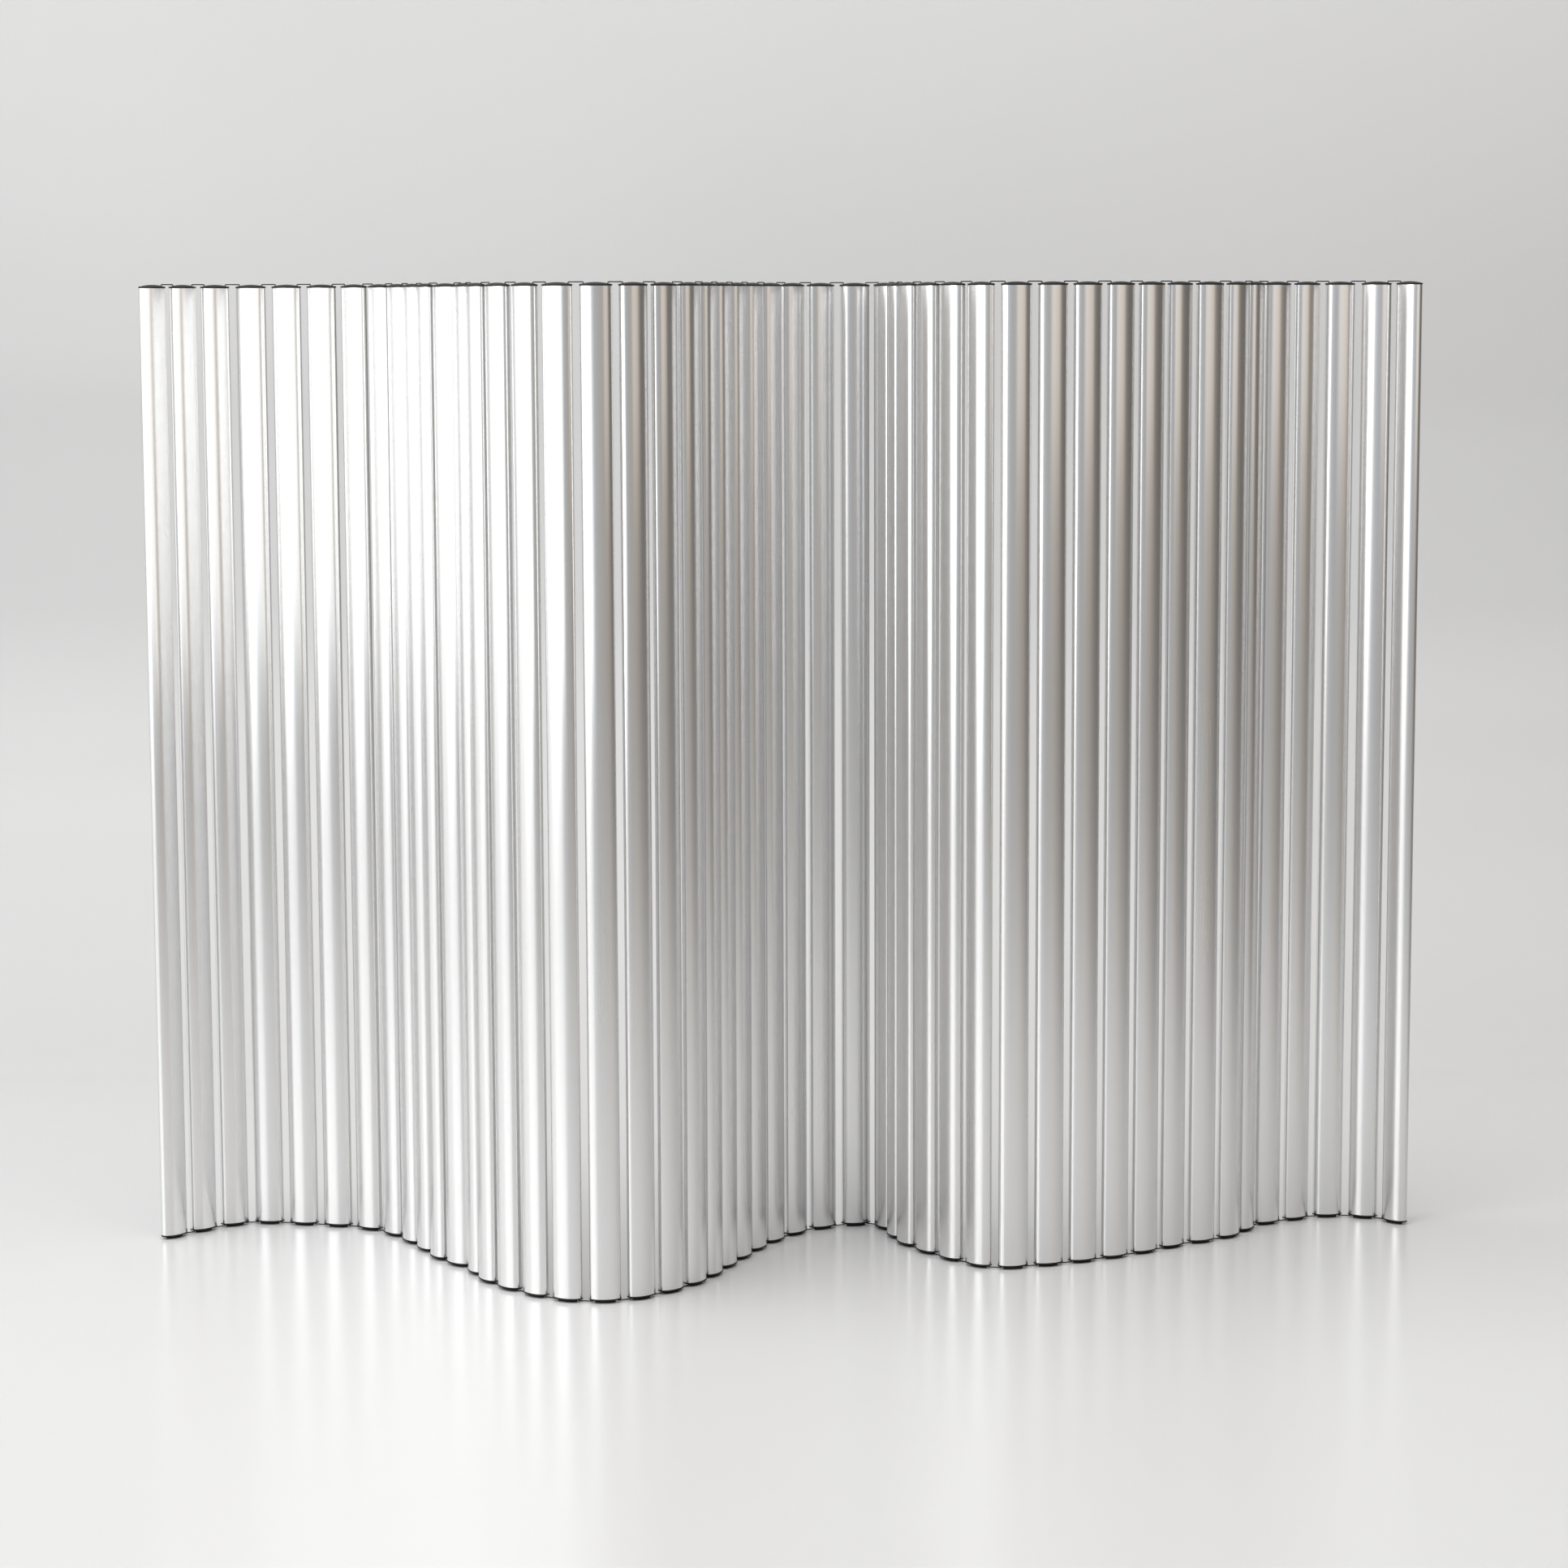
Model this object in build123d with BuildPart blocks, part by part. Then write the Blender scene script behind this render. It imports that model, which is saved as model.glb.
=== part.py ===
"""Free-standing roll-up screen: upright aluminium tubes joined by small wire links, top and foot."""

from math import cos, hypot, radians, sin, sqrt
import os

from build123d import *

os.makedirs("parts", exist_ok=True)

# Driving dimensions, in millimetres
overall_height = 1600.0  # floor to the top of the upper links
slat_width = 50.0  # long axis of the tube's ellipse
slat_depth = 28.0  # short axis of the tube's ellipse
tube_wall = 1.0

flange_lip = 0.6  # how far a cap's flange stands proud of the tube
flange_thickness = 2.0
flange_round = 0.5
plug_length = 12.0  # how deep a cap reaches into its tube
plug_gap = 0.05
plug_wall = 1.6
web_thickness = 1.6

dome_inset = 0.8  # top cap: from the flange's rim to the foot of the dome
dome_height = 3.3
foot_height = 4.4  # foot cap: floor to the flange
foot_depth = 16.0  # short axis of the oval foot face
foot_flare = 1.2  # how far the foot widens up to the flange, each side

pin_inset = 6.1  # pivot axis in from the narrow edge of the tube
link_pitch = 23.8  # between the two legs of a link
wire_diameter = 1.8
bend_radius = 1.7  # centre line of the wire
top_link_rise = 3.6  # centre of the wire above the top cap's flange
foot_link_rise = 2.6  # centre of the wire below the foot cap's flange
swing_gap = 0.5  # between a link's leg and the foot it swings round

socket_clearance = 0.06
neck_length = 4.0  # narrow part of a socket, from the flange's outer face
boss_wall = 1.6
head_diameter = 2.4  # snap head on the end of a link's leg
head_length = 1.6
head_play = 0.3  # under the neck and round the head

# How the screen stands: heading of the first slat, then the turn at each hinge in a row,
# in degrees, left positive, as (how many hinges, change at each)
first_heading = 47.3
heading_changes = [
    (1, -3), (1, -11), (1, -40), (1, -6), (1, 0), (2, -19), (1, -9), (2, -3), (1, 26), (1, -34),
    (2, 14), (1, 5), (1, 19), (2, 29), (3, 11), (3, -1), (2, -8), (2, -19), (1, -76), (1, -19),
    (1, 20), (3, 7), (1, 56), (5, 5), (1, -14), (2, 20), (1, -38), (1, 5), (3, -27),
]
turns = [change for count, change in heading_changes for _ in range(count)]
slat_count = len(turns) + 1
middle = (slat_count + 1) // 2

# Sizes that follow
pin_offset = slat_width / 2 - pin_inset
flange_x = slat_width / 2 + flange_lip
flange_y = slat_depth / 2 + flange_lip
bore_x = slat_width / 2 - tube_wall
bore_y = slat_depth / 2 - tube_wall
tube_bottom = foot_height + flange_thickness
top_face = overall_height - wire_diameter / 2 - top_link_rise
tube_top = top_face - flange_thickness
foot_x = pin_offset - wire_diameter / 2 - swing_gap - foot_flare
foot_y = foot_depth / 2
neck_radius = wire_diameter / 2 + socket_clearance
chamber_radius = head_diameter / 2 + head_play
boss_radius = chamber_radius + boss_wall
boss_length = neck_length + head_play + head_length + head_play - flange_thickness
pins = [(-pin_offset, 0), (pin_offset, 0)]

with BuildPart() as tube:
    with BuildSketch():
        Ellipse(slat_width / 2, slat_depth / 2)
        Ellipse(bore_x, bore_y, mode=Mode.SUBTRACT)
    extrude(amount=tube_top - tube_bottom)

# What both caps share: z = 0 is the tube's end and +Z points out of the tube
with BuildPart() as cap_body:
    with BuildSketch():
        Ellipse(flange_x, flange_y)
    extrude(amount=flange_thickness)
    fillet(edges().group_by(Axis.Z)[-1], flange_round)
    with BuildSketch():
        Ellipse(bore_x - plug_gap, bore_y - plug_gap)
        Ellipse(bore_x - plug_gap - plug_wall, bore_y - plug_gap - plug_wall, mode=Mode.SUBTRACT)
    extrude(amount=-plug_length)
    with BuildSketch():
        Rectangle(2 * bore_x - 2 * plug_gap - plug_wall, web_thickness)
        with Locations(*pins):
            Circle(boss_radius)
    extrude(amount=-boss_length)

# The room that both caps leave for the links' legs: a narrow neck at each pivot, and under it
# a wider chamber that the leg's snap head turns in
with BuildPart() as sockets:
    with BuildSketch(Plane.XY.offset(flange_thickness - neck_length)):
        with Locations(*pins):
            Circle(neck_radius)
    extrude(amount=neck_length + dome_height)
    with BuildSketch(Plane.XY.offset(flange_thickness - neck_length)):
        with Locations(*pins):
            Circle(chamber_radius)
    extrude(amount=-boss_length)

with BuildPart() as top_cap:
    add(cap_body.part)
    # The dome falls away from its middle as a parabola, and ends in a small flat
    for share in (0, 0.3, 0.6, 0.85, 0.97):
        with BuildSketch(Plane.XY.offset(flange_thickness + share * dome_height)):
            Ellipse((flange_x - dome_inset) * sqrt(1 - share), (flange_y - dome_inset) * sqrt(1 - share))
    loft(ruled=True)
    add(sockets.part, mode=Mode.SUBTRACT)

with BuildPart() as foot_cap:
    add(cap_body.part)
    with BuildSketch(Plane.XY.offset(flange_thickness)):
        Ellipse(foot_x + foot_flare, foot_y + foot_flare)
    with BuildSketch(Plane.XY.offset(flange_thickness + foot_height)):
        Ellipse(foot_x, foot_y)
    loft()
    add(sockets.part, mode=Mode.SUBTRACT)


def staple(rise):
    """Wire link: z = 0 is the flange's outer face, and its first leg stands on the origin."""
    leg_end = -neck_length - head_play
    with BuildPart() as link:
        with BuildLine(Plane.XZ) as wire:
            FilletPolyline(
                (0, leg_end), (0, rise), (link_pitch, rise), (link_pitch, leg_end), radius=bend_radius
            )
        with BuildSketch(Plane(origin=wire.wire() @ 0, z_dir=wire.wire() % 0)):
            Circle(wire_diameter / 2)
        sweep()
        with BuildSketch(Plane.XY.offset(leg_end)):
            with Locations((0, 0), (link_pitch, 0)):
                Circle(head_diameter / 2)
        extrude(amount=-head_length)
    return link


top_link = staple(top_link_rise)
foot_link = staple(foot_link_rise)


def ahead(point, heading, distance):
    """The point that lies the given distance from another, along a heading in degrees."""
    return point[0] + distance * cos(radians(heading)), point[1] + distance * sin(radians(heading))


# Slat by slat along the row; each link halves the turn between its two slats
centres = [(0.0, 0.0)]
headings = [first_heading]
link_starts = []
link_headings = []
for turn in turns:
    near_pin = ahead(centres[-1], headings[-1], pin_offset)
    far_pin = ahead(near_pin, headings[-1] + turn / 2, link_pitch)
    link_starts.append(near_pin)
    link_headings.append(headings[-1] + turn / 2)
    headings.append(headings[-1] + turn)
    centres.append(ahead(far_pin, headings[-1], pin_offset))

# The origin is on the floor, at the middle of the box round the flanges
reach_x = [hypot(flange_x * cos(radians(h)), flange_y * sin(radians(h))) for h in headings]
reach_y = [hypot(flange_x * sin(radians(h)), flange_y * cos(radians(h))) for h in headings]
low_x = min(centre[0] - reach for centre, reach in zip(centres, reach_x))
high_x = max(centre[0] + reach for centre, reach in zip(centres, reach_x))
low_y = min(centre[1] - reach for centre, reach in zip(centres, reach_y))
high_y = max(centre[1] + reach for centre, reach in zip(centres, reach_y))
middle_x = (low_x + high_x) / 2
middle_y = (low_y + high_y) / 2


def placed(piece, point, heading, height, up=1):
    """A copy of a piece at its place in the row; up is -1 for one that is turned over."""
    seat = Plane(
        origin=(point[0] - middle_x, point[1] - middle_y, height),
        x_dir=(cos(radians(heading)), sin(radians(heading)), 0),
        z_dir=(0, 0, up),
    )
    return piece.part.moved(seat.location).solid()


def pieces_of(number):
    """The separate solids of one slat and of the links that it carries, by kind."""
    point = centres[number - 1]
    heading = headings[number - 1]
    # Links are carried by the slat nearer the middle of the row, and the middle slat carries both pairs
    carried = []
    if number <= middle and number > 1:
        carried.append(number - 2)
    if number >= middle and number < slat_count:
        carried.append(number - 1)
    starts = [(link_starts[index], link_headings[index]) for index in carried]
    return {
        "tube": [placed(tube, point, heading, tube_bottom)],
        "top_cap": [placed(top_cap, point, heading, tube_top)],
        "foot_cap": [placed(foot_cap, point, heading, tube_bottom, up=-1)],
        "top_links": [placed(top_link, start, turned, top_face) for start, turned in starts],
        "foot_links": [placed(foot_link, start, turned, foot_height, up=-1) for start, turned in starts],
    }


def write_node(name, solids):
    """One file for each node; a node of several pieces keeps them as separate solids."""
    node = Compound(solids)
    node.label = name
    export_step(node, f"parts/{name}.step")


# The middle slat and the two end slats have a node for each kind of piece; each other slat is one node
split_slats = (1, middle, slat_count)
for number in range(1, slat_count + 1):
    pieces = pieces_of(number)
    if number in split_slats:
        for kind, solids in pieces.items():
            if solids:
                write_node(f"slat_{number:02d}_{kind}", solids)
    else:
        write_node(f"slat_{number:02d}", sum(pieces.values(), []))
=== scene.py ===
"""Studio view of a free-standing roll-up screen of satin aluminium tubes."""

from math import cos, hypot, pi, radians, sin, sqrt

import bmesh
import bpy
from mathutils import Matrix, Vector


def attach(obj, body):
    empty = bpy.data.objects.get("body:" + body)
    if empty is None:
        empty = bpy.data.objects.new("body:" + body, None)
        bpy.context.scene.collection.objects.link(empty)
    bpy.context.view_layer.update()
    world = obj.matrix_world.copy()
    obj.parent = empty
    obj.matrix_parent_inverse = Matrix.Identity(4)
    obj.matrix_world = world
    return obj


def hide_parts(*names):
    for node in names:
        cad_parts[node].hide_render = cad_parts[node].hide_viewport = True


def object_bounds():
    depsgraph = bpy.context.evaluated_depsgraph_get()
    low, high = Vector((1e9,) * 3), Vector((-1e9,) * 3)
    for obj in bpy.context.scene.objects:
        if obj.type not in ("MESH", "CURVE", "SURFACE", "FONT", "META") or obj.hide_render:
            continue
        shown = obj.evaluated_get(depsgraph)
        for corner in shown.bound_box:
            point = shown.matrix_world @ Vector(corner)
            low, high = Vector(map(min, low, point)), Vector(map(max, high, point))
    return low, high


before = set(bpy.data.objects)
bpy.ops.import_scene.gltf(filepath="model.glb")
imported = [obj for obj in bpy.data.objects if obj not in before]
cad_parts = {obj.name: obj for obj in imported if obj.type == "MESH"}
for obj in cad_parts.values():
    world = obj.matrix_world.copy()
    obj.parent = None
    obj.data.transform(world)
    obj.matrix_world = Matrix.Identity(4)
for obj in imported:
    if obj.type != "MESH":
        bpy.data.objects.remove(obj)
cad_low, cad_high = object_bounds()

MM = 0.001

# Sizes of the pieces, in millimetres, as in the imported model
SLAT_HALF_WIDTH = 25.0
SLAT_HALF_DEPTH = 14.0
TUBE_WALL = 1.0
FLANGE_LIP = 0.6
FLANGE_THICKNESS = 2.0
PLUG_LENGTH = 12.0
PLUG_GAP = 0.05
PLUG_WALL = 1.6
WEB_THICKNESS = 1.6
DOME_INSET = 0.8
DOME_HEIGHT = 3.3
FOOT_HEIGHT = 4.4
FOOT_HALF_DEPTH = 8.0
FOOT_FLARE = 1.2
PIN_INSET = 6.1
LINK_PITCH = 23.8
WIRE_RADIUS = 0.9
BEND_RADIUS = 1.7
TOP_LINK_RISE = 3.6
FOOT_LINK_RISE = 2.6
SWING_GAP = 0.5
SOCKET_CLEARANCE = 0.06
NECK_LENGTH = 4.0
BOSS_WALL = 1.6
HEAD_RADIUS = 1.2
HEAD_LENGTH = 1.6
HEAD_PLAY = 0.3

# Sizes that follow
OVERALL_HEIGHT = cad_high.z / MM
PIN_OFFSET = SLAT_HALF_WIDTH - PIN_INSET
FLANGE_X = SLAT_HALF_WIDTH + FLANGE_LIP
FLANGE_Y = SLAT_HALF_DEPTH + FLANGE_LIP
BORE_X = SLAT_HALF_WIDTH - TUBE_WALL
BORE_Y = SLAT_HALF_DEPTH - TUBE_WALL
TUBE_BOTTOM = FOOT_HEIGHT + FLANGE_THICKNESS
TOP_FACE = OVERALL_HEIGHT - WIRE_RADIUS - TOP_LINK_RISE
TUBE_TOP = TOP_FACE - FLANGE_THICKNESS
FOOT_X = PIN_OFFSET - WIRE_RADIUS - SWING_GAP - FOOT_FLARE
CHAMBER_RADIUS = HEAD_RADIUS + HEAD_PLAY
BOSS_RADIUS = CHAMBER_RADIUS + BOSS_WALL
BOSS_LENGTH = NECK_LENGTH + 2 * HEAD_PLAY + HEAD_LENGTH - FLANGE_THICKNESS

# Small roundings and eased edges that only the dressed pieces have, in millimetres
TUBE_CHAMFER = 0.45
TUBE_KNEE_IN = TUBE_CHAMFER / 3  # inset and height where the chamfer's slope changes
TUBE_KNEE_UP = TUBE_CHAMFER * 0.35
TUBE_END_STRIP = 3.0
PLUG_LEAD = 0.5
FLANGE_CORNER = 0.45
BOSS_EASE = 0.4
DOME_BEAD_OUT = 0.1  # faint bead round the foot of the dome
DOME_BEAD_UP = 0.02
FOOT_FILLET = 0.8  # where the foot meets the flange
FOOT_FILLET_TUCK = 0.15
FOOT_FILLET_LIFT = 0.01
FOOT_EDGE = 0.5  # round the foot's face
FOOT_SPREAD = 0.1
HEAD_TIP_EASE = 0.35
HEAD_TIP_LEAD = 0.3
HEAD_SHOULDER = 0.15
LEG_STRIP = 0.6
CUT_BEYOND = 1.0  # how far the socket cutter reaches past the bosses

# How finely curves are divided
AROUND = 96
BOSS_AROUND = 32
SOCKET_AROUND = 24
WIRE_AROUND = 20
TUBE_SPANS = 8
FLANGE_STEPS = 6
FOOT_STEPS = 4
BEND_STEPS = 8
DOME_STEPS = 14
DOME_LAST_SHARE = 0.985  # of the dome's height, where its small flat middle begins
DOME_CROWDING = 1.3  # above 1, sections crowd towards the dome's foot

# Edges sharper than this are drawn sharp, in degrees
TUBE_SHARP = 20.0
BLANK_SHARP = 30.0
CAP_SHARP = 32.0
LINK_SHARP = 40.0

# How the screen stands: heading of the first slat, then (how many hinges, turn of each) in degrees
FIRST_HEADING = 47.3
TURN_RUNS = [
    (1, -3), (1, -11), (1, -40), (1, -6), (1, 0), (2, -19), (1, -9), (2, -3), (1, 26), (1, -34),
    (2, 14), (1, 5), (1, 19), (2, 29), (3, 11), (3, -1), (2, -8), (2, -19), (1, -76), (1, -19),
    (1, 20), (3, 7), (1, 56), (5, 5), (1, -14), (2, 20), (1, -38), (1, 5), (3, -27),
]
TURNS = [turn for count, turn in TURN_RUNS for _ in range(count)]
SLAT_COUNT = len(TURNS) + 1
MIDDLE = (SLAT_COUNT + 1) // 2


# Where the pieces stand

def ahead(point, heading, distance):
    """The point that lies the given distance from another, along a heading in degrees."""
    return point[0] + distance * cos(radians(heading)), point[1] + distance * sin(radians(heading))


def stand_row():
    """Centres and headings of the slats, then first legs and headings of the links.

    The origin is at the middle of the box round the flanges.
    """
    centres = [(0.0, 0.0)]
    headings = [FIRST_HEADING]
    starts = []
    directions = []
    for turn in TURNS:
        near_pin = ahead(centres[-1], headings[-1], PIN_OFFSET)
        far_pin = ahead(near_pin, headings[-1] + turn / 2, LINK_PITCH)
        starts.append(near_pin)
        directions.append(headings[-1] + turn / 2)
        headings.append(headings[-1] + turn)
        centres.append(ahead(far_pin, headings[-1], PIN_OFFSET))
    reach_x = [hypot(FLANGE_X * cos(radians(h)), FLANGE_Y * sin(radians(h))) for h in headings]
    reach_y = [hypot(FLANGE_X * sin(radians(h)), FLANGE_Y * cos(radians(h))) for h in headings]
    low_x = min(centre[0] - reach for centre, reach in zip(centres, reach_x))
    high_x = max(centre[0] + reach for centre, reach in zip(centres, reach_x))
    low_y = min(centre[1] - reach for centre, reach in zip(centres, reach_y))
    high_y = max(centre[1] + reach for centre, reach in zip(centres, reach_y))
    middle_x = (low_x + high_x) / 2
    middle_y = (low_y + high_y) / 2
    centres = [(x - middle_x, y - middle_y) for x, y in centres]
    starts = [(x - middle_x, y - middle_y) for x, y in starts]
    return centres, headings, starts, directions


# Meshes, built in millimetres about their own seats

def bridge(bm, first, second):
    """Faces between two rings of as many points."""
    count = len(first)
    for index in range(count):
        after = (index + 1) % count
        bm.faces.new((first[index], first[after], second[after], second[index]))


def fan(bm, ring, z):
    """Closes a ring with triangles to a point on the seat's own axis."""
    tip = bm.verts.new((0, 0, z))
    count = len(ring)
    for index in range(count):
        bm.faces.new((ring[index], ring[(index + 1) % count], tip))


def elliptic_skin(bm, sections, around=AROUND):
    """Bridged rings through sections of (half x, half y, z), open at both ends."""
    rings = []
    for half_x, half_y, z in sections:
        ring = []
        for index in range(around):
            angle = 2 * pi * index / around
            ring.append(bm.verts.new((half_x * cos(angle), half_y * sin(angle), z)))
        rings.append(ring)
    for first, second in zip(rings, rings[1:]):
        bridge(bm, first, second)
    return rings


def move_to_pin(rings, side):
    """Moves rings from the middle of a cap to its pivot on one side, -1 or 1."""
    for ring in rings:
        for vert in ring:
            vert.co.x += side * PIN_OFFSET


def finished(bm, name, sharp_angle=BLANK_SHARP):
    """The mesh of a bmesh, with its normals outwards and its edges sharp above an angle."""
    bmesh.ops.recalc_face_normals(bm, faces=bm.faces)
    mesh = bpy.data.meshes.new(name)
    bm.to_mesh(mesh)
    bm.free()
    mesh.shade_smooth()
    mesh.set_sharp_from_angle(angle=radians(sharp_angle))
    return mesh


def tube_mesh():
    """The extruded tube, standing on z = 0, with its cut edges lightly broken."""
    length = TUBE_TOP - TUBE_BOTTOM
    edge = [
        (TUBE_CHAMFER, 0.0),
        (TUBE_KNEE_IN, TUBE_KNEE_UP),
        (0.0, TUBE_CHAMFER),
        (0.0, TUBE_END_STRIP),
    ]
    foot = [(SLAT_HALF_WIDTH - inset, SLAT_HALF_DEPTH - inset, z) for inset, z in edge]
    top = [(half_x, half_y, length - z) for half_x, half_y, z in reversed(foot)]
    middle = [
        (SLAT_HALF_WIDTH, SLAT_HALF_DEPTH, length * span / TUBE_SPANS)
        for span in range(1, TUBE_SPANS)
    ]
    bore = [(BORE_X, BORE_Y, z) for z in (length, length - PLUG_LENGTH, PLUG_LENGTH, 0.0)]
    bm = bmesh.new()
    rings = elliptic_skin(bm, foot + middle + top + bore)
    bridge(bm, rings[-1], rings[0])
    return finished(bm, "tube", TUBE_SHARP)


def rim_sections():
    """The plug and flange of both caps, from inside the plug out to the flange's outer face."""
    plug_x = BORE_X - PLUG_GAP
    plug_y = BORE_Y - PLUG_GAP
    inner_x = plug_x - PLUG_WALL
    inner_y = plug_y - PLUG_WALL
    sections = [
        (inner_x, inner_y, 0.0),
        (inner_x, inner_y, -PLUG_LENGTH + PLUG_LEAD),
        (inner_x + PLUG_LEAD, inner_y + PLUG_LEAD, -PLUG_LENGTH),
        (plug_x - PLUG_LEAD, plug_y - PLUG_LEAD, -PLUG_LENGTH),
        (plug_x, plug_y, -PLUG_LENGTH + PLUG_LEAD),
        (plug_x, plug_y, 0.0),
    ]
    for first_angle, height in ((-90, FLANGE_CORNER), (0, FLANGE_THICKNESS - FLANGE_CORNER)):
        for step in range(FLANGE_STEPS + 1):
            angle = radians(first_angle + 90 * step / FLANGE_STEPS)
            sections.append((
                FLANGE_X - FLANGE_CORNER + FLANGE_CORNER * cos(angle),
                FLANGE_Y - FLANGE_CORNER + FLANGE_CORNER * cos(angle),
                height + FLANGE_CORNER * sin(angle),
            ))
    return sections


def plug_inside(bm):
    """The web across the plug and the two bosses on it."""
    half_web = BORE_X - PLUG_GAP - PLUG_WALL / 2
    box = bmesh.ops.create_cube(bm, size=1.0)
    size = Matrix.Diagonal((2 * half_web, WEB_THICKNESS, BOSS_LENGTH, 1))
    shape = Matrix.Translation((0, 0, -BOSS_LENGTH / 2)) @ size
    bmesh.ops.transform(bm, matrix=shape, verts=box["verts"])
    for side in (-1, 1):
        rings = elliptic_skin(bm, [
            (BOSS_RADIUS, BOSS_RADIUS, 0.0),
            (BOSS_RADIUS, BOSS_RADIUS, -BOSS_LENGTH + BOSS_EASE),
            (BOSS_RADIUS - BOSS_EASE, BOSS_RADIUS - BOSS_EASE, -BOSS_LENGTH),
        ], BOSS_AROUND)
        fan(bm, rings[0], 0.0)
        fan(bm, rings[-1], -BOSS_LENGTH)
        # The tips of the fans stay on the cap's own axis
        move_to_pin(rings, side)


def socket_cutter_mesh():
    """A neck and under it a wider chamber, at each pivot."""
    neck = WIRE_RADIUS + SOCKET_CLEARANCE
    shoulder = FLANGE_THICKNESS - NECK_LENGTH
    bm = bmesh.new()
    for side in (-1, 1):
        rings = elliptic_skin(bm, [
            (neck, neck, FLANGE_THICKNESS + DOME_HEIGHT),
            (neck, neck, shoulder),
            (CHAMBER_RADIUS, CHAMBER_RADIUS, shoulder),
            (CHAMBER_RADIUS, CHAMBER_RADIUS, -BOSS_LENGTH - CUT_BEYOND),
        ], SOCKET_AROUND)
        bm.faces.new(rings[0])
        bm.faces.new(rings[-1])
        move_to_pin(rings, side)
    return finished(bm, "socket_cutter")


def cut_sockets(mesh):
    """The cap's mesh with its sockets cut."""
    cap = bpy.data.objects.new("cap_blank", mesh)
    bpy.context.scene.collection.objects.link(cap)
    cutter = bpy.data.objects.new("socket_cutter", socket_cutter_mesh())
    bpy.context.scene.collection.objects.link(cutter)
    cut = cap.modifiers.new("sockets", "BOOLEAN")
    cut.operation = "DIFFERENCE"
    cut.solver = "EXACT"
    cut.use_self = True
    cut.object = cutter
    bpy.context.view_layer.update()
    graph = bpy.context.evaluated_depsgraph_get()
    made = bpy.data.meshes.new_from_object(cap.evaluated_get(graph))
    bpy.data.objects.remove(cap)
    bpy.data.objects.remove(cutter)
    made.shade_smooth()
    made.set_sharp_from_angle(angle=radians(CAP_SHARP))
    return made


def cap_mesh(name, outer_sections, tip):
    """A cap: z = 0 is the tube's end, +Z points out of the tube, and its outer face ends at tip."""
    bm = bmesh.new()
    rings = elliptic_skin(bm, rim_sections() + outer_sections)
    fan(bm, rings[0], 0.0)
    fan(bm, rings[-1], tip)
    plug_inside(bm)
    return cut_sockets(finished(bm, name))


def top_cap_mesh():
    """Top cap, with a dome that falls away from its middle as a parabola."""
    dome_x = FLANGE_X - DOME_INSET
    dome_y = FLANGE_Y - DOME_INSET
    sections = [(dome_x + DOME_BEAD_OUT, dome_y + DOME_BEAD_OUT, FLANGE_THICKNESS + DOME_BEAD_UP)]
    for step in range(DOME_STEPS):
        share = DOME_LAST_SHARE * (step / (DOME_STEPS - 1)) ** DOME_CROWDING
        sections.append((
            dome_x * sqrt(1 - share),
            dome_y * sqrt(1 - share),
            FLANGE_THICKNESS + share * DOME_HEIGHT,
        ))
    return cap_mesh("top_cap", sections, FLANGE_THICKNESS + DOME_HEIGHT)


def foot_cap_mesh():
    """Foot cap, made the same way up as the top cap, with the oval foot that the slat stands on."""
    quarter = [radians(90 * step / FOOT_STEPS) for step in range(FOOT_STEPS + 1)]
    fillet = [
        (
            FOOT_X + FOOT_FLARE - FOOT_FILLET_TUCK + FOOT_FILLET * (1 - sin(angle)),
            FOOT_HALF_DEPTH + FOOT_FLARE + FOOT_FILLET * (1 - sin(angle)),
            FLANGE_THICKNESS + FOOT_FILLET_LIFT + FOOT_FILLET * (1 - cos(angle)),
        )
        for angle in quarter
    ]
    rim = [
        (
            FOOT_X + FOOT_SPREAD - FOOT_EDGE * (1 - cos(angle)),
            FOOT_HALF_DEPTH + FOOT_SPREAD - FOOT_EDGE * (1 - cos(angle)),
            FLANGE_THICKNESS + FOOT_HEIGHT - FOOT_EDGE * (1 - sin(angle)),
        )
        for angle in quarter
    ]
    return cap_mesh("foot_cap", fillet + rim, FLANGE_THICKNESS + FOOT_HEIGHT)


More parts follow.
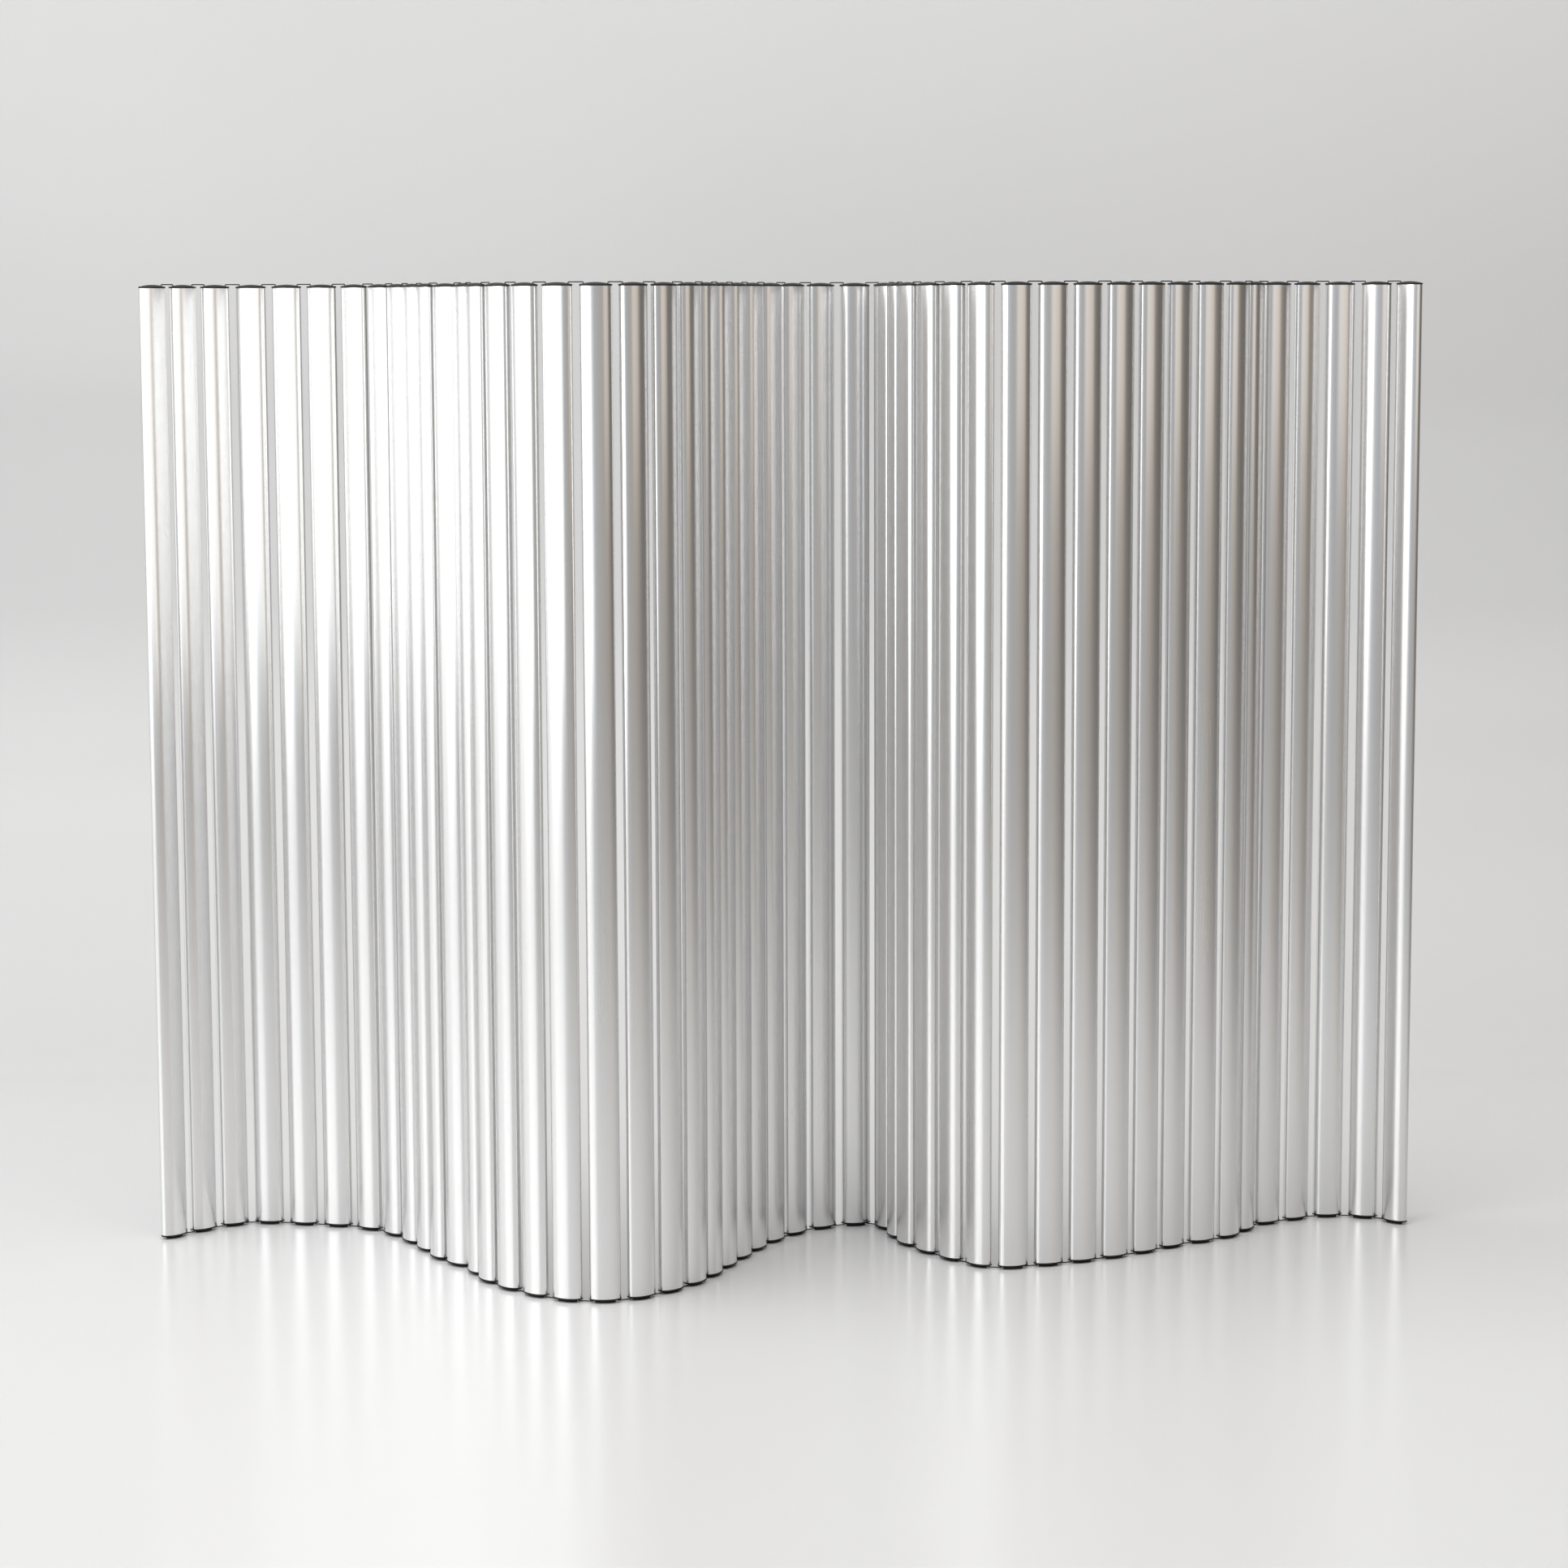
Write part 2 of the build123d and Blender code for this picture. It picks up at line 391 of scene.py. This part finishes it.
def link_mesh(rise):
    """Wire staple: z = 0 is the flange's outer face, and its first leg stands on the origin."""
    leg_end = -NECK_LENGTH - HEAD_PLAY
    tip = leg_end - HEAD_LENGTH
    # Each point of the path is (x, z, angle of the wire from upright in degrees, radius)
    path = [
        (0, tip, 0.0, HEAD_RADIUS - HEAD_TIP_EASE),
        (0, tip + HEAD_TIP_LEAD, 0.0, HEAD_RADIUS),
        (0, leg_end - HEAD_SHOULDER, 0.0, HEAD_RADIUS),
        (0, leg_end, 0.0, WIRE_RADIUS),
        (0, leg_end + LEG_STRIP, 0.0, WIRE_RADIUS),
        (0, 0, 0.0, WIRE_RADIUS),
    ]
    for step in range(BEND_STEPS + 1):
        angle = 90 * step / BEND_STEPS
        path.append((
            BEND_RADIUS - BEND_RADIUS * cos(radians(angle)),
            rise - BEND_RADIUS + BEND_RADIUS * sin(radians(angle)),
            angle,
            WIRE_RADIUS,
        ))
    path.append((LINK_PITCH / 2, rise, 90.0, WIRE_RADIUS))
    path += [
        (LINK_PITCH - x, z, 180 - angle, radius) for x, z, angle, radius in reversed(path[:-1])
    ]
    bm = bmesh.new()
    rings = []
    across = Vector((0, 1, 0))
    for x, z, angle, radius in path:
        normal = Vector((-cos(radians(angle)), 0, sin(radians(angle))))
        ring = []
        for side in range(WIRE_AROUND):
            turn = 2 * pi * side / WIRE_AROUND
            spoke = radius * (cos(turn) * normal + sin(turn) * across)
            ring.append(bm.verts.new(Vector((x, 0, z)) + spoke))
        rings.append(ring)
    for first, second in zip(rings, rings[1:]):
        bridge(bm, first, second)
    bm.faces.new(rings[0])
    bm.faces.new(rings[-1])
    return finished(bm, "link", LINK_SHARP)


# Materials

# Places of the colour sockets on a Mix node
MIX_FIRST = 6
MIX_SECOND = 7
MIX_RESULT = 2

# Parts of a noise's range that are stretched to the full range of what it drives
NARROW = (0.35, 0.65)
WIDE = (0.3, 0.7)

BLACK_SPECULAR = 0.3


class Nodes:
    """Helpers that add nodes to a material or to the world."""

    def __init__(self, owner):
        owner.use_nodes = True
        self.tree = owner.node_tree
        self.link = self.tree.links.new

    def add(self, kind, **values):
        """A node with the given values for its inputs or its own settings."""
        node = self.tree.nodes.new(kind)
        for key, value in values.items():
            if key in node.inputs:
                node.inputs[key].default_value = value
            else:
                setattr(node, key, value)
        return node

    def noise(self, scale, detail, roughness=0.5):
        """Noise over the object's own position, stretched by a scale for each axis."""
        mapping = self.add("ShaderNodeMapping", Scale=scale)
        self.link(self.add("ShaderNodeTexCoord").outputs["Object"], mapping.inputs["Vector"])
        noise = self.add("ShaderNodeTexNoise", Scale=1.0, Detail=detail, Roughness=roughness)
        self.link(mapping.outputs["Vector"], noise.inputs["Vector"])
        return noise.outputs["Fac"]

    def ranged(self, value, source, target):
        """A value carried from one range of (low, high) to another, and kept in it."""
        node = self.add("ShaderNodeMapRange")
        names = ("From Min", "From Max", "To Min", "To Max")
        for name, limit in zip(names, (*source, *target)):
            node.inputs[name].default_value = limit
        self.link(value, node.inputs["Value"])
        return node.outputs["Result"]

    def maths(self, operation, first, second):
        """A Math node on two sockets."""
        node = self.add("ShaderNodeMath", operation=operation)
        self.link(first, node.inputs[0])
        self.link(second, node.inputs[1])
        return node.outputs["Value"]

    def mixed(self, factor, first, second):
        """A colour between two, each a colour or a socket."""
        node = self.add("ShaderNodeMix", data_type="RGBA")
        for index, value in ((MIX_FIRST, first), (MIX_SECOND, second)):
            if isinstance(value, tuple):
                node.inputs[index].default_value = (*value, 1.0)
            else:
                self.link(value, node.inputs[index])
        self.link(factor, node.inputs[0])
        return node.outputs[MIX_RESULT]


def new_material(name):
    """A new material, its nodes and the inputs of its Principled shader."""
    material = bpy.data.materials.new(name)
    nodes = Nodes(material)
    return material, nodes, nodes.tree.nodes["Principled BSDF"].inputs


def anodised_aluminium():
    """Satin anodised extrusion: faint lines along it, and roughness that drifts a little."""
    material, nodes, surface = new_material("anodised_aluminium")
    lines = nodes.noise((520, 520, 0.25), 2.0)
    streaks = nodes.noise((120, 120, 0.2), 1.0)
    patches = nodes.noise((5, 5, 1.6), 2.0)
    cool = (0.815, 0.816, 0.82)
    bright = (0.828, 0.827, 0.825)
    warm = (0.82, 0.812, 0.80)
    tone = nodes.mixed(nodes.ranged(lines, NARROW, (0.0, 1.0)), cool, bright)
    tone = nodes.mixed(nodes.ranged(streaks, NARROW, (0.0, 0.3)), tone, warm)
    drift = nodes.ranged(patches, WIDE, (0.25, 0.27))
    rough = nodes.maths("ADD", drift, nodes.ranged(lines, WIDE, (-0.004, 0.006)))
    nodes.link(tone, surface["Base Color"])
    nodes.link(rough, surface["Roughness"])
    surface["Metallic"].default_value = 1.0
    return material


def dull_black(name, specks, grain, onset, tones, roughness, bump):
    """A black with pale specks and a fine bump.

    Specks and grain are (scale, detail, roughness) of a noise, onset is the part of the specks'
    range that shows, tones are (clean, pale), and bump is (strength, depth in metres).
    """
    material, nodes, surface = new_material(name)
    scale, *rest = specks
    speckle = nodes.noise((scale, scale, scale), *rest)
    scale, *rest = grain
    height = nodes.noise((scale, scale, scale), *rest)
    strength, depth = bump
    relief = nodes.add("ShaderNodeBump", Strength=strength, Distance=depth)
    nodes.link(height, relief.inputs["Height"])
    nodes.link(nodes.mixed(nodes.ranged(speckle, onset, (0.0, 1.0)), *tones), surface["Base Color"])
    nodes.link(nodes.ranged(speckle, WIDE, roughness), surface["Roughness"])
    nodes.link(relief.outputs["Normal"], surface["Normal"])
    surface["Specular IOR Level"].default_value = BLACK_SPECULAR
    return material


def black_plastic():
    """Moulded black plastic with a fine grain and a little dust."""
    return dull_black(
        "black_plastic",
        specks=(90, 4.0, 0.5),
        grain=(2600, 2.0, 0.5),
        onset=(0.4, 0.75),
        tones=((0.007, 0.007, 0.008), (0.018, 0.0175, 0.017)),
        roughness=(0.46, 0.58),
        bump=(0.25, 0.00005),
    )


def black_wire():
    """Black coated wire, a little shinier than the caps, rubbed in places."""
    return dull_black(
        "black_wire",
        specks=(700, 4.0, 0.6),
        grain=(700, 4.0, 0.6),
        onset=(0.5, 0.75),
        tones=((0.006, 0.006, 0.007), (0.020, 0.0195, 0.019)),
        roughness=(0.34, 0.48),
        bump=(0.2, 0.00004),
    )


# Pieces

def piece(name, mesh, material, point, heading, height, up, body, node):
    """One piece, seated in the row and riding on its body; up is -1 for one that is turned over."""
    place = Matrix.Translation((point[0] * MM, point[1] * MM, height * MM))
    seat = place @ Matrix.Rotation(radians(heading), 4, "Z")
    if up < 0:
        seat = seat @ Matrix.Rotation(pi, 4, "X")
    own = mesh.copy()
    own.transform(seat @ Matrix.Scale(MM, 4))
    own.materials.clear()
    own.materials.append(material)
    made = bpy.data.objects.new(name, own)
    bpy.context.scene.collection.objects.link(made)
    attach(made, body)
    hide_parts(node)


def node_for(number, kind):
    """Some slats have a node for each kind of piece, and the others one node for all."""
    split = f"slat_{number:02d}_{kind}"
    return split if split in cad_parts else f"slat_{number:02d}"


def dress_screen():
    """Every tube, cap and link of the row."""
    metal = anodised_aluminium()
    plastic = black_plastic()
    wire = black_wire()
    slat_kinds = [
        ("tube", tube_mesh(), metal, "anodised_aluminium", TUBE_BOTTOM, 1),
        ("top_cap", top_cap_mesh(), plastic, "black_plastic", TUBE_TOP, 1),
        ("foot_cap", foot_cap_mesh(), plastic, "black_plastic", TUBE_BOTTOM, -1),
    ]
    link_kinds = [
        ("top_link", link_mesh(TOP_LINK_RISE), wire, "black_wire", TOP_FACE, 1),
        ("foot_link", link_mesh(FOOT_LINK_RISE), wire, "black_wire", FOOT_HEIGHT, -1),
    ]
    centres, headings, starts, directions = stand_row()
    for number, (point, heading) in enumerate(zip(centres, headings), start=1):
        for kind, mesh, material, slot_name, height, up in slat_kinds:
            piece(f"{kind}_{number:02d}", mesh, material, point, heading, height, up,
                  f"slat_{number:02d}", node_for(number, kind))
    for number, (point, heading) in enumerate(zip(starts, directions), start=1):
        carrier = number if number >= MIDDLE else number + 1
        for kind, mesh, material, slot_name, height, up in link_kinds:
            piece(f"{kind}_{number:02d}", mesh, material, point, heading, height, up,
                  f"slat_{carrier:02d}", node_for(carrier, f"{kind}s"))


# Studio, in metres

FLOOR_ROWS = (-12.0, -4.0, 0.0, 1.5)  # along Y, from the front to where the cove starts
COVE_RADIUS = 1.6
COVE_STEPS = 12
WALL_TOP = 7.0
STUDIO_HALF_WIDTH = 9.0

GROUND_TONES = ((0.722, 0.722, 0.72), (0.737, 0.737, 0.737))
GROUND_ROUGHNESS = (0.205, 0.215)
GROUND_SPECULAR = 0.38
# A band of painted shade across the wall, which comes in and fades out between these heights
WALL_SHADE_TONE = (0.62, 0.62, 0.62)
WALL_SHADE_ONSET = (0.45, 0.85)
WALL_SHADE_FADE = (1.1, 2.3)
# The ground falls away in tone towards the camera, along Y, and to the right, along X
OUTSIDE_TONE = (0.44, 0.435, 0.425)
OUTSIDE_FRONT = (-4.2, -2.1)
OUTSIDE_RIGHT = (1.9, 3.8)


def pale_ground():
    """Pale glossy floor and wall of the studio, with a band of painted shade across the wall."""
    material, nodes, surface = new_material("pale_ground")
    cloud = nodes.noise((0.8, 0.8, 0.8), 3.0)
    scuff = nodes.noise((5.0, 2.2, 1.0), 6.0, 0.7)
    split = nodes.add("ShaderNodeSeparateXYZ")
    nodes.link(nodes.add("ShaderNodeTexCoord").outputs["Object"], split.inputs["Vector"])
    along_x, along_y, height = split.outputs
    tone = nodes.mixed(nodes.ranged(cloud, WIDE, (0.0, 1.0)), *GROUND_TONES)
    # Painted shade: the wall's colour is darkened in a band of heights
    painted_shade = nodes.maths("SUBTRACT", nodes.ranged(height, WALL_SHADE_ONSET, (0.0, 1.0)),
                       nodes.ranged(height, WALL_SHADE_FADE, (0.0, 1.0)))
    tone = nodes.mixed(painted_shade, tone, WALL_SHADE_TONE)
    outside = nodes.maths("MAXIMUM", nodes.ranged(along_y, OUTSIDE_FRONT, (1.0, 0.0)),
                          nodes.ranged(along_x, OUTSIDE_RIGHT, (0.0, 1.0)))
    tone = nodes.mixed(outside, tone, OUTSIDE_TONE)
    nodes.link(tone, surface["Base Color"])
    nodes.link(nodes.ranged(scuff, WIDE, GROUND_ROUGHNESS), surface["Roughness"])
    surface["Specular IOR Level"].default_value = GROUND_SPECULAR
    # Clear from behind, so that the wall hides nothing from a camera at the back
    clear = nodes.add("ShaderNodeBsdfTransparent")
    side = nodes.add("ShaderNodeMixShader")
    own = nodes.tree.nodes
    nodes.link(nodes.add("ShaderNodeNewGeometry").outputs["Backfacing"], side.inputs[0])
    nodes.link(own["Principled BSDF"].outputs["BSDF"], side.inputs[1])
    nodes.link(clear.outputs["BSDF"], side.inputs[2])
    nodes.link(side.outputs["Shader"], own["Material Output"].inputs["Surface"])
    return material


def build_studio():
    """Floor that curves up into a wall behind the screen."""
    cove_start = FLOOR_ROWS[-1]
    profile = [(y, 0.0) for y in FLOOR_ROWS]
    for step in range(1, COVE_STEPS + 1):
        angle = radians(90 * step / COVE_STEPS)
        profile.append((cove_start + COVE_RADIUS * sin(angle), COVE_RADIUS * (1 - cos(angle))))
    profile.append((cove_start + COVE_RADIUS, WALL_TOP))
    bm = bmesh.new()
    left = [bm.verts.new((-STUDIO_HALF_WIDTH, y, z)) for y, z in profile]
    right = [bm.verts.new((STUDIO_HALF_WIDTH, y, z)) for y, z in profile]
    for index in range(len(profile) - 1):
        bm.faces.new((left[index], right[index], right[index + 1], left[index + 1]))
    mesh = bpy.data.meshes.new("studio")
    bm.to_mesh(mesh)
    bm.free()
    mesh.shade_smooth()
    mesh.materials.append(pale_ground())
    studio = bpy.data.objects.new("studio", mesh)
    bpy.context.scene.collection.objects.link(studio)


# Soft boxes: place, point aimed at, width and height in metres, radiance where 1 is white, tint
PLAIN = (1.0, 1.0, 1.0)
SOFT_BOXES = {
    "key_left": ((-4.1, -3.2, 1.9), (0.0, 0.0, 1.0), 4.4, 2.8, 1.7, PLAIN),
    "near_left": ((-1.52, -1.4, 1.72), (-1.52, 0.0, 1.72), 2.0, 1.7, 1.0, PLAIN),
    "near_right": ((2.0, -1.6, 1.9), (1.4, 0.0, 1.9), 1.8, 1.3, 0.45, (1.0, 0.93, 0.86)),
    "side_left": ((-0.50, -0.90, 1.72), (-1.50, -0.90, 1.72), 1.0, 1.7, 0.85, (1.0, 0.99, 0.97)),
    "overhead": ((-0.1, -1.0, 4.6), (0.0, 0.3, 0.0), 7.5, 5.0, 1.45, PLAIN),
}
# These show in reflections only
MIRRORED_ONLY = ("near_left", "near_right", "side_left")

# Brightness and tint of the far room by azimuth in degrees: 0 towards the camera, 90 to the right
ROOM = [
    (-180, (0.62, 0.62, 0.62)),
    (-125, (1.15, 1.15, 1.15)),
    (-95, (1.45, 1.45, 1.45)),
    (-50, (0.92, 0.92, 0.93)),
    (-22, (0.54, 0.55, 0.57)),
    (0, (0.43, 0.445, 0.465)),
    (22, (0.46, 0.44, 0.41)),
    (48, (0.37, 0.32, 0.27)),
    (80, (0.16, 0.145, 0.13)),
    (120, (0.14, 0.13, 0.125)),
    (150, (0.38, 0.38, 0.38)),
]
# What a camera sees where it looks past the floor
PAST_THE_FLOOR = (0.72, 0.72, 0.715)


def soft_box(name, place, aim, width, height, radiance, tint):
    """A rectangular soft box at a place, turned to a point."""
    data = bpy.data.lights.new(name, "AREA")
    data.shape = "RECTANGLE"
    data.size = width
    data.size_y = height
    data.energy = radiance * pi * width * height
    data.color = tint
    lamp = bpy.data.objects.new(name, data)
    lamp.location = place
    lamp.rotation_euler = (Vector(aim) - Vector(place)).to_track_quat("-Z", "Y").to_euler()
    lamp.visible_camera = False
    lamp.visible_diffuse = name not in MIRRORED_ONLY
    bpy.context.scene.collection.objects.link(lamp)


def light_room():
    """The soft boxes, and a room whose brightness goes by azimuth."""
    for name, settings in SOFT_BOXES.items():
        soft_box(name, *settings)
    world = bpy.data.worlds.new("room")
    bpy.context.scene.world = world
    nodes = Nodes(world)
    split = nodes.add("ShaderNodeSeparateXYZ")
    nodes.link(nodes.add("ShaderNodeTexCoord").outputs["Generated"], split.inputs["Vector"])
    flip = nodes.add("ShaderNodeMath", operation="MULTIPLY")
    flip.inputs[1].default_value = -1.0
    nodes.link(split.outputs["Y"], flip.inputs[0])
    azimuth = nodes.maths("ARCTAN2", split.outputs["X"], flip.outputs["Value"])
    ramp = nodes.add("ShaderNodeValToRGB")
    nodes.link(nodes.ranged(azimuth, (-pi, pi), (0.0, 1.0)), ramp.inputs["Fac"])
    stops = ramp.color_ramp.elements
    for stop in stops:
        stop.color = (*ROOM[0][1], 1.0)
    for angle, colour in ROOM[1:]:
        stops.new((angle + 180) / 360).color = (*colour, 1.0)
    camera_ray = nodes.add("ShaderNodeLightPath").outputs["Is Camera Ray"]
    seen = nodes.mixed(camera_ray, ramp.outputs["Color"], PAST_THE_FLOOR)
    background = nodes.tree.nodes["Background"]
    nodes.link(seen, background.inputs["Color"])
    background.inputs["Strength"].default_value = 1.0


# Camera, as the photograph was taken: metres in the screen's frame, degrees
CAMERA_PLACE = (0.02242, -6.19929, 1.5665)
CAMERA_PITCH = 7.147
CAMERA_ROLL = -0.18
CAMERA_REACH = 100.0
PHOTO_PIXELS = 1932
FOCAL_PIXELS = 4730.6
CENTRE_PIXEL_X = 985.2
SENSOR_MM = 36.0


def set_camera():
    """The camera, with a small shift because the picture was cropped off its centre."""
    data = bpy.data.cameras.new("camera")
    data.sensor_width = SENSOR_MM
    data.lens = SENSOR_MM * FOCAL_PIXELS / PHOTO_PIXELS
    data.shift_x = (PHOTO_PIXELS / 2 - CENTRE_PIXEL_X) / PHOTO_PIXELS
    data.clip_end = CAMERA_REACH
    camera = bpy.data.objects.new("camera", data)
    pitch = Matrix.Rotation(radians(90 - CAMERA_PITCH), 4, "X")
    roll = Matrix.Rotation(radians(CAMERA_ROLL), 4, "Z")
    camera.matrix_world = Matrix.Translation(CAMERA_PLACE) @ pitch @ roll
    bpy.context.scene.collection.objects.link(camera)
    bpy.context.scene.camera = camera


set_camera()
dress_screen()
build_studio()
light_room()
bpy.context.scene.view_settings.view_transform = "Standard"
